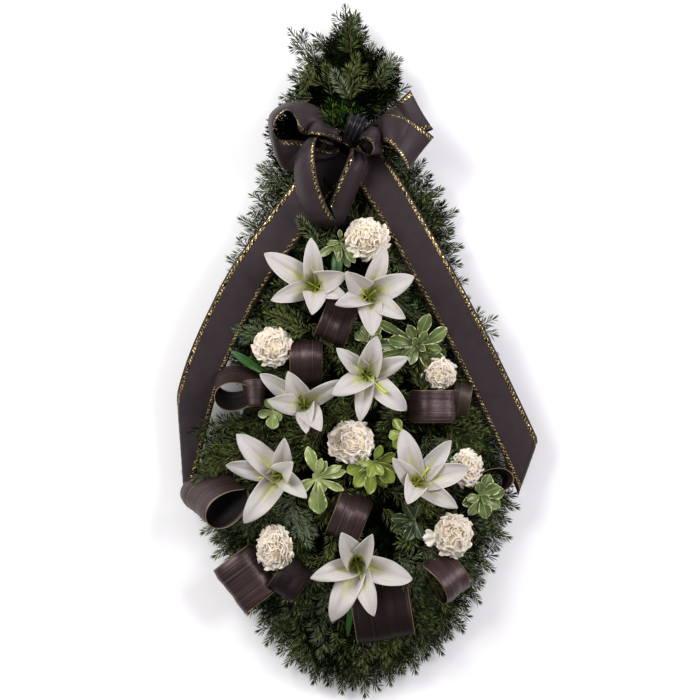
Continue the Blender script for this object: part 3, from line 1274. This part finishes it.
# Neck, heading, reach, bulge above and below the neck, width, roll about the heading in degrees, and how
# far the loop leans to +X and +Y for each millimetre of height.
ROLLED_LEAVES = {
    "rolled_leaf_top": ((-8, 78, 84), 248, 70, 30, 10, 52, 0, (0, 0)),
    "rolled_leaf_upper": ((-70, -56, 82), 90, 72, 34, 8, 52, 0, (0, 0)),
    "rolled_leaf_ring": ((-146, -58, 90), 183, 70, 26, 26, 50, 90, (0, -0.6)),
    "rolled_leaf_right": ((92, -90, 84), 0, 74, 34, 8, 52, 0, (0, 0)),
    "rolled_leaf_behind": ((172, -112, 70), 80, 60, 22, 6, 30, 0, (0, 0)),
    "rolled_leaf_left": ((-181, -209, 86), 217, 84, 28, 28, 68, 90, (0.66, -0.5)),
    "rolled_leaf_centre": ((14, -230, 84), 248, 76, 34, 8, 54, 0, (0, 0)),
    "rolled_leaf_low_left": ((-130, -340, 68), 217, 80, 26, 14, 86, 0, (0, 0)),
    "rolled_leaf_inner_left": ((-76, -338, 80), 236, 66, 26, 8, 50, 0, (0, 0)),
    "rolled_leaf_foot": ((44, -374, 74), 279, 90, 26, 12, 94, 0, (0, 0)),
    "rolled_leaf_low_right": ((128, -332, 80), 304, 76, 34, 20, 50, -28, (0, 0)),
    "rolled_leaf_far_right": ((188, -212, 66), 4, 66, 22, 22, 40, 90, (0.4, 0.1)),
}
# Leaves that took the dye differently.
OUTSIDE_OF = {
    "rolled_leaf_foot": DULL_LEAF,
    "rolled_leaf_inner_left": DULL_LEAF,
    "rolled_leaf_behind": OLIVE_LEAF,
}
# How deeply a leaf has buckled along its length, where one has.
HUMPS = {"rolled_leaf_right": 4.5, "rolled_leaf_centre": 2, "rolled_leaf_low_left": 1.5}
ROLL_THICKNESS = 0.8 * MM
ROLL_STEPS = 40
ROLL_START, ROLL_SHARE = 0.035, 0.93  # where on the closed loop the leaf starts, and how much it covers


def rolled_leaf(node, neck, heading, reach, above, below, width, roll, lean):
    """A broad leaf bent back on itself, as the solid is, with the sag and the waves of a real one."""
    rng = np.random.default_rng(int(abs(neck[0]) + width))
    out = leaning(heading, 90)
    side = Quaternion(out, math.radians(roll)) @ UP.cross(out)
    over = out.cross(side)
    start = at(*neck)

    def point(t):
        swing = math.sin(2 * math.pi * t)
        off = swing * math.sqrt(max(0, math.sin(math.pi * t))) * (above if swing > 0 else below)
        return start + (out * (reach * (1 - math.cos(2 * math.pi * t)) / 2) + over * off) * MM

    rows = []
    phase = rng.uniform(0, 6)
    for k in range(ROLL_STEPS + 1):
        t = ROLL_START + ROLL_SHARE * k / ROLL_STEPS
        along = (point(t + 0.01) - point(t - 0.01)).normalized()
        inward = -side.cross(along)
        opened = min(1, 3.2 * math.sin(math.pi * t))
        half = (width * (0.55 + 0.45 * opened)) / 2
        row = []
        for s in np.linspace(-1, 1, 13):
            wave = 1.1 * math.sin(4 * s + 4 * t + phase) + 0.5 * math.sin(11 * s + phase)
            hump = HUMPS.get(node, 0) * math.sin(8 * math.pi * t) * math.sin(math.pi * t)
            wave += 1.6 * s * s * math.sin(5 * t + phase) + hump
            p = point(t) + (side * (s * half) - inward * wave) * MM
            p.x += lean[0] * (p.z - start.z)
            p.y += lean[1] * (p.z - start.z)
            row.append(p)
        rows.append(row)
    inside = DYED_LEAF if node == "rolled_leaf_far_right" else LEAF_INSIDE
    parts = [sheet("leaf", rows, ROLL_THICKNESS, inside, 0, OUTSIDE_OF.get(node, DYED_LEAF))]
    if node == "rolled_leaf_ring":
        parts.append(leaf_curl((-153, -50, 98), (-150, -92, 106), 20, 14))
    foot = stem_foot(node)
    parts.append(rod("stalk", [foot, start + UP * 2 * MM], [3.8 * MM, 3 * MM], STALK, 8))
    hand_over(join(node + "_loop", parts), node)


def leaf_curl(back, mouth, back_radius, mouth_radius):
    """The leaf's own tip, curled into a tube inside the loop."""
    back, mouth = at(*back), at(*mouth)
    axis = (mouth - back).normalized()
    side = axis.cross(UP).normalized()
    top = side.cross(axis)
    rows = []
    steps, turns = 32, 1.2
    for k in range(steps + 1):
        turn = 2 * math.pi * turns * k / steps
        ring = math.cos(turn) * side + math.sin(turn) * top
        tight = 1 - 0.22 * k / steps
        row = []
        for f in np.linspace(0, 1, 9):
            radius = (back_radius + (mouth_radius - back_radius) * f) * tight * MM
            row.append(back.lerp(mouth, f) + ring * radius)
        rows.append(row)
    return sheet("curl", rows, ROLL_THICKNESS, DYED_LEAF, 0, LEAF_INSIDE)


for node, spec in ROLLED_LEAVES.items():
    rolled_leaf(node, *spec)


# ---- ribbon ---------------------------------------------------------------------------------------
RIBBON_WIDTH = 62
RIBBON_THICKNESS = 0.5 * MM
SATIN_THICKNESS = 0.4 * MM
BRAID_TWIST = 1030.0  # radians per metre along the ribbon, which is one turn in 6.1 mm
BRAID_SLANT = 64.0  # radians over the ribbon's width, which slants the strands at about 45 degrees


def ribbon_cloth(name, dark, light, sheen):
    """Wired taffeta ribbon: charcoal, faintly uneven, a twisted braid of gold glitter near each edge."""
    made, tree, shader = new_material(name)
    shader.inputs["Specular IOR Level"].default_value = 0.2
    shader.inputs["Sheen Weight"].default_value = sheen
    shader.inputs["Sheen Roughness"].default_value = 0.5
    shader.inputs["Sheen Tint"].default_value = srgb("#b9a6ac")
    _, side, along = across_and_along(tree)
    place = add(tree, "ShaderNodeTexCoord").outputs["Object"]
    wander = add(tree, "ShaderNodeTexNoise", {"Vector": place, "Scale": BRAID_WANDER}).outputs["Fac"]
    ragged = add(
        tree, "ShaderNodeMath", {0: wander, 1: 0.022, 2: side}, operation="MULTIPLY_ADD"
    ).outputs[0]
    inner = add(
        tree, "ShaderNodeMapRange", {"Value": ragged, "From Min": 0.388, "From Max": 0.394}
    ).outputs["Result"]
    outer = add(
        tree,
        "ShaderNodeMapRange",
        {"Value": ragged, "From Min": 0.466, "From Max": 0.472, "To Min": 1, "To Max": 0},
    ).outputs["Result"]
    braid = add(tree, "ShaderNodeMath", {0: inner, 1: outer}, operation="MULTIPLY").outputs[0]
    flake = add(tree, "ShaderNodeTexVoronoi", {"Vector": place, "Scale": GLITTER})
    hue = add(tree, "ShaderNodeSeparateColor", {"Color": flake.outputs["Color"]}).outputs[0]
    flakes = add(
        tree, "ShaderNodeMapRange", {"Value": hue, "From Min": 0.25, "From Max": 0.9}
    ).outputs["Result"]
    slope = add(tree, "ShaderNodeMath", {0: side, 1: BRAID_SLANT}, operation="MULTIPLY").outputs[0]
    turns = add(
        tree, "ShaderNodeMath", {0: along, 1: BRAID_TWIST, 2: slope}, operation="MULTIPLY_ADD"
    ).outputs[0]
    swing = add(tree, "ShaderNodeMath", {0: turns}, operation="SINE").outputs[0]
    strand = add(
        tree, "ShaderNodeMapRange", {"Value": swing, "From Min": -0.8, "From Max": 0.4, "To Min": 0.1}
    ).outputs["Result"]
    glint = add(tree, "ShaderNodeMath", {0: flakes, 1: strand}, operation="MULTIPLY").outputs[0]
    gold = add(tree, "ShaderNodeMix", {0: glint, 6: srgb("#2b1f0d"), 7: srgb("#e6cf98")}, data_type="RGBA")
    _, cloth = mottled(tree, CLOTH_SHADES, 4.0, dark, light)
    trimmed = {0: braid, 6: cloth, 7: gold.outputs[2]}
    colour = add(tree, "ShaderNodeMix", trimmed, data_type="RGBA")
    tree.links.new(colour.outputs[2], shader.inputs["Base Color"])
    metal = add(tree, "ShaderNodeMath", {0: braid, 1: 0.85}, operation="MULTIPLY").outputs[0]
    tree.links.new(metal, shader.inputs["Metallic"])
    rough = add(
        tree, "ShaderNodeMapRange", {"Value": braid, "To Min": 0.46, "To Max": 0.3}
    ).outputs["Result"]
    tree.links.new(rough, shader.inputs["Roughness"])
    grain = add(tree, "ShaderNodeMath", {0: glint, 1: braid}, operation="MULTIPLY").outputs[0]
    bump = add(tree, "ShaderNodeBump", {"Height": grain, "Strength": 0.8, "Distance": 0.9 * MM})
    tree.links.new(bump.outputs["Normal"], shader.inputs["Normal"])
    return made


def ribbon_satin():
    """The ribbon's satin back: black with a broad soft shine."""
    made, tree, shader = new_material("satin_ribbon_back", Roughness=0.3, IOR=1.5)
    _, colour = mottled(tree, SATIN_YARN, 2.0, "#1b191d", "#2a272d")
    tree.links.new(colour, shader.inputs["Base Color"])
    return made


def measure_along(piece, length):
    """Lets the UV map run in metres along a ribbon, so that the braid's twist is as long on every piece."""
    corners = piece.data.uv_layers["UVMap"].data
    flat = np.empty(2 * len(corners), "f")
    corners.foreach_get("uv", flat)
    flat[1::2] *= length
    corners.foreach_set("uv", flat)


RIBBON = ribbon_cloth("taffeta_wired_ribbon", "#322a2c", "#403739", 0.04)
RIBBON_BACK = ribbon_cloth("taffeta_ribbon_back", "#060505", "#0b090a", 0.0)
SATIN = ribbon_satin()

# Sections of each loop: a point on its outer edge and the point across from it on its inner edge.
# Outer edges are then lowered where the two are nearer than the ribbon is wide.
BOW_LOOPS = {
    "bow_loop_right_small": [
        ((14, 343, 104), (3, 328, 114)), ((26, 356, 122), (16, 334, 136)),
        ((40, 356, 132), (27, 333, 152)), ((50, 347, 132), (33, 327, 155)),
        ((52, 332, 126), (36, 318, 148)), ((50, 314, 122), (30, 308, 138)),
        ((32, 312, 118), (18, 314, 130)), ((14, 321, 110), (8, 322, 122)),
    ],
    "bow_loop_left_inner": [
        ((-15, 345, 118), (-25, 332, 128)), ((-34, 357, 138), (-39, 338, 148)),
        ((-47, 366, 142), (-51, 339, 158)), ((-60, 361, 140), (-63, 341, 156)),
        ((-65, 346, 136), (-66, 339, 147)), ((-52, 343, 130), (-54, 336, 137)),
        ((-26, 338, 120), (-28, 328, 126)),
    ],
    "bow_loop_front": [
        ((-15, 338, 112), (-15, 328, 122)), ((-41, 342, 124), (-32, 338, 140)),
        ((-67, 336, 126), (-50, 338, 150)), ((-83, 316, 118), (-56, 318, 158)),
        ((-89, 290, 110), (-55, 292, 160)), ((-87, 262, 106), (-49, 260, 158)),
        ((-79, 228, 104), (-37, 229, 150)), ((-63, 203, 104), (-23, 206, 136)),
        ((-36, 196, 96), (-26, 216, 124)), ((-12, 201, 92), (-32, 236, 120)),
        ((3, 233, 94), (-24, 254, 126)), ((17, 267, 96), (-13, 281, 132)),
        ((27, 297, 98), (-3, 305, 130)), ((18, 316, 98), (1, 321, 116)),
    ],
    "bow_loop_left": [
        ((-15, 334, 96), (-34, 325, 114)), ((-34, 374, 104), (-63, 338, 124)),
        ((-61, 392, 100), (-80, 346, 138)), ((-89, 396, 90), (-86, 366, 143)),
        ((-111, 391, 86), (-98, 379, 145)), ((-129, 374, 83), (-114, 368, 141)),
        ((-129, 345, 78), (-121, 352, 137)), ((-118, 306, 80), (-119, 343, 130)),
        ((-104, 287, 86), (-109, 335, 118)), ((-85, 287, 88), (-81, 334, 110)),
        ((-61, 295, 92), (-61, 327, 103)), ((-34, 306, 92), (-34, 318, 100)),
        ((-17, 321, 88), (-19, 323, 98)),
    ],
    "bow_loop_right_lower": [
        ((30, 345, 111), (30, 328, 111)), ((47, 363, 117), (47, 328, 115)),
        ((53, 375, 132), (53, 330, 134)), ((73, 374, 142), (65, 324, 148)),
        ((93, 367, 143), (76, 312, 150)), ((113, 353, 138), (85, 297, 146)),
        ((131, 340, 128), (91, 284, 134)), ((131, 338, 121), (94, 290, 124)),
        ((110, 338, 113), (88, 300, 108)), ((76, 343, 108), (66, 318, 102)),
        ((40, 340, 104), (38, 326, 100)),
    ],
    "bow_loop_right_upper": [
        ((21, 352, 98), (29, 338, 98)), ((40, 368, 104), (51, 336, 102)),
        ((54, 379, 108), (75, 340, 106)), ((75, 395, 108), (100, 345, 106)),
        ((95, 413, 98), (130, 352, 98)), ((93, 410, 91), (128, 350, 91)),
        ((73, 393, 86), (100, 341, 86)), ((51, 374, 88), (73, 336, 88)),
        ((25, 350, 91), (32, 338, 91)),
    ],
}

# Each tail's route, the line that it folds under at (a point on it and the heading of the way out), and
# the CAD node that it lies on.
BOW_TAILS = {
    "bow_tail_left": (
        [(-16, 318, 78), (-67, 248, 84), (-157, 126, 84), (-199, 49, 78), (-229, -18, 68), (-249, -80, 58),
         (-264, -140, 52), (-286, -220, 50)],
        (-268, -100), 184, "fir_side_left",
    ),
    "bow_tail_right": (
        [(10, 322, 74), (59, 250, 84), (146, 98, 84), (200, -4, 78), (250, -106, 62), (292, -196, 52),
         (305, -224, 50)],
        (288, -160), -20, "fir_side_right",
    ),
}
FOLD_RADIUS = 9
SECTION_STEPS = 6  # rows of points for each section of a loop
LOOP_LOWEST = 68  # how low a loop's edge may come
OPENS_OVER = 0.16  # share of a loop's length over which it opens out from the tie
PLEATS_OVER = 0.14  # share over which its pleats fade
STEEPENS_OVER = 0.12  # share over which it goes over to standing on edge
TAIL_STEPS = 60
STRIP_STEPS = 25
PLEATS = 6


def length_of(points):
    """Length of the line through an array of points."""
    return float(np.linalg.norm(np.diff(points, axis=0), axis=1).sum())


def bow_loop(node, sections):
    """A loop of the bow between its two edges: on edge where it is open, pleated where it is tied."""
    count = SECTION_STEPS * len(sections)
    outer = smooth_line([at(*pair[0]) for pair in sections], count)
    inner = smooth_line([at(*pair[1]) for pair in sections], count)
    for k in range(count):
        opened = min(1, min(k, count - 1 - k) / count / OPENS_OVER)
        across = math.hypot(*(outer[k] - inner[k])[:2])
        deep = math.sqrt(max(0, (0.94 * RIBBON_WIDTH * MM) ** 2 - across**2))
        lower = max(min(outer[k][2], inner[k][2] - deep), LOOP_LOWEST * MM)
        outer[k][2] += (lower - outer[k][2]) * opened
    middle = (outer + inner) / 2
    rows = []
    for k, (a, b) in enumerate(zip(outer, inner)):
        along = Vector(middle[min(k + 1, count - 1)] - middle[max(k - 1, 0)]).normalized()
        across = Vector(b - a)
        normal = along.cross(across).normalized()
        end = min(k, count - 1 - k) / count
        spare = math.sqrt(max(0, (RIBBON_WIDTH * MM) ** 2 - across.length**2))
        pleat = spare / 10 * math.exp(-((end / PLEATS_OVER) ** 2))
        level = Vector((across.x, across.y, 0))
        steep = min(1, abs(across.z) / max(level.length, MM)) * min(1, end / STEEPENS_OVER)
        row = []
        for s in np.linspace(0, 1, 21):
            straight = across * s
            arched = level * (1 - math.cos(math.pi * s / 2)) + UP * (across.z * math.sin(math.pi * s / 2))
            bow = 1.6 * MM * math.sin(math.pi * s) * (1 - steep) + pleat * math.sin(5 * math.pi * s)
            row.append(Vector(a) + straight.lerp(arched, steep) + normal * bow)
        rows.append(row)
    x, y = middle[:, 0], middle[:, 1]
    leftward = (x[:-1] * y[1:] - x[1:] * y[:-1]).sum() + x[-1] * y[0] - x[0] * y[-1] > 0
    front, back = (RIBBON_BACK, RIBBON) if leftward else (RIBBON, RIBBON_BACK)
    piece = sheet(node + "_ribbon", rows, RIBBON_THICKNESS, front, 0, back)
    measure_along(piece, length_of(middle))
    hand_over(piece, node)


def bow_tail(node, route, fold_at, fold_way, beneath):
    """A tail that lies along its route and folds back under itself at the rim."""
    line = smooth_line([at(*p) for p in route], TAIL_STEPS)
    edge = at(*fold_at, 0)
    outward = leaning(fold_way, 90)
    radius = FOLD_RADIUS * MM
    rows = []
    for k, p in enumerate(line):
        along = Vector(line[min(k + 1, TAIL_STEPS - 1)] - line[max(k - 1, 0)])
        along.z = 0
        across = along.normalized().cross(UP) * (RIBBON_WIDTH / 2 * MM)
        row = []
        for s in np.linspace(-1, 1, 15):
            q = Vector(p) + across * s
            q.z += (1.6 * math.cos(math.pi * s / 2) + 0.8 * math.sin(k / 6 + 2 * s)) * MM
            past = (q - edge).dot(outward)
            if past > 0:
                turn = min(past / radius, math.pi)
                back = max(0, past - math.pi * radius)
                q += outward * (-past + radius * math.sin(turn) - back)
                q.z -= radius * (1 - math.cos(turn))
            row.append(q)
        rows.append(row)
    piece = sheet(node + "_ribbon", rows, RIBBON_THICKNESS, RIBBON, 0)
    measure_along(piece, length_of(line))
    hand_over(piece, node)


def satin_fold(name, line, widths, material):
    """A strip of satin gathered into soft pleats along its length, from one width to another."""
    line = smooth_line([at(*p) for p in line], STRIP_STEPS)
    last = STRIP_STEPS - 1
    rows = []
    for k, p in enumerate(line):
        along = Vector(line[min(k + 1, last)] - line[max(k - 1, 0)]).normalized()
        across = along.cross(UP)
        across = across.normalized() if across.length > 0.2 else Vector((0.9, -0.43, 0))
        normal = across.cross(along)
        width = widths[0] + (widths[1] - widths[0]) * k / last
        deep = 1.5 * width / PLEATS / math.pi
        row = []
        for s in np.linspace(0, 1, 8 * PLEATS + 1):
            fold = deep * math.sin(PLEATS * math.pi * s) + 0.18 * width * math.sin(math.pi * s)
            row.append(Vector(p) + (across * ((s - 0.5) * width) + normal * fold) * MM)
        rows.append(row)
    piece = sheet(name, rows, SATIN_THICKNESS, material, 0)
    measure_along(piece, length_of(line))
    return piece


for node, sections in BOW_LOOPS.items():
    bow_loop(node, sections)
for node, spec in BOW_TAILS.items():
    bow_tail(node, *spec)
# Lines of the strip over the bow's middle and of the short pleated end beside it.
TIE = [(-1, 334, 116), (4, 346, 130), (9, 357, 134), (13, 367, 126), (15, 372, 108)]
KNOT = [(-16, 342, 98), (-12, 340, 114), (-1, 334, 120), (9, 328, 114), (14, 326, 98)]
hand_over(satin_fold("bow_tie_satin", TIE, (22, 31), SATIN), "bow_tie")
hand_over(satin_fold("bow_knot_satin", KNOT, (20, 20), RIBBON_BACK), None)


# ---- what the stems stand in ----------------------------------------------------------------------
def foam():
    """Floral foam, soaked: dark green, dull, full of fine open cells."""
    made, tree, shader = new_material("floral_foam_wet", Roughness=0.85)
    cells, colour = mottled(tree, FOAM_CELLS, 3.0, "#0c160d", "#24381f")
    tree.links.new(colour, shader.inputs["Base Color"])
    bump = add(tree, "ShaderNodeBump", {"Height": cells, "Strength": 0.6, "Distance": 1 * MM})
    tree.links.new(bump.outputs["Normal"], shader.inputs["Normal"])
    return made


def hardboard():
    """Hardboard, pressed wood fibre stained dark green, with short fibres that catch the light."""
    made, tree, shader = new_material("hardboard_stained", Roughness=0.75)
    fibres, colour = mottled(tree, WOOD_FIBRE, 5.0, "#151c12", "#343d2a", 1.5)
    tree.links.new(colour, shader.inputs["Base Color"])
    bump = add(tree, "ShaderNodeBump", {"Height": fibres, "Strength": 0.4, "Distance": 0.6 * MM})
    tree.links.new(bump.outputs["Normal"], shader.inputs["Normal"])
    return made


for node, material in (("floral_foam", foam()), ("backing_board", hardboard())):
    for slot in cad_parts[node].material_slots:
        slot.material = material


# ---- camera, light and floor ----------------------------------------------------------------------
LENS_HEIGHT = 6302  # millimetres above the floor


def studio():
    """A pale floor, a long lens straight above the face, and soft light from the upper left and right."""
    deselect()
    bpy.ops.mesh.primitive_plane_add(size=9, location=(0, 0, 0))
    floor = bpy.context.object
    floor.name = "studio_floor"
    paper, _, shader = new_material("studio_paper", Roughness=0.9)
    shader.inputs["Base Color"].default_value = srgb("#fdfcfd")
    floor.data.materials.append(paper)

    lens = bpy.data.cameras.new("camera")
    lens.sensor_width = 36
    lens.lens = 200
    lens.clip_end = 50
    camera = bpy.data.objects.new("camera", lens)
    bpy.context.scene.collection.objects.link(camera)
    camera.location = at(0, 0, LENS_HEIGHT)
    bpy.context.scene.camera = camera

    def soft_light(name, place, size, power, colour="#ffffff"):
        lamp = bpy.data.lights.new(name, "AREA")
        lamp.shape = "SQUARE"
        lamp.size = size
        lamp.energy = power
        lamp.color = srgb(colour)[:3]
        holder = bpy.data.objects.new(name, lamp)
        bpy.context.scene.collection.objects.link(holder)
        holder.location = place
        holder.rotation_euler = (-Vector(place)).to_track_quat("-Z", "Y").to_euler()

    soft_light("key_softbox", (-1.9, 1.3, 2.2), 1.7, 73)
    soft_light("fill_softbox", (2.1, 0.8, 2.2), 1.4, 56, "#fbf9ff")
    world = bpy.data.worlds.new("studio_air")
    bpy.context.scene.world = world
    world.use_nodes = True
    world.node_tree.nodes["Background"].inputs["Color"].default_value = srgb("#f8f6f8")
    world.node_tree.nodes["Background"].inputs["Strength"].default_value = 0.37
    bpy.context.scene.view_settings.view_transform = "Standard"
    bpy.context.scene.view_settings.look = "Medium High Contrast"


studio()
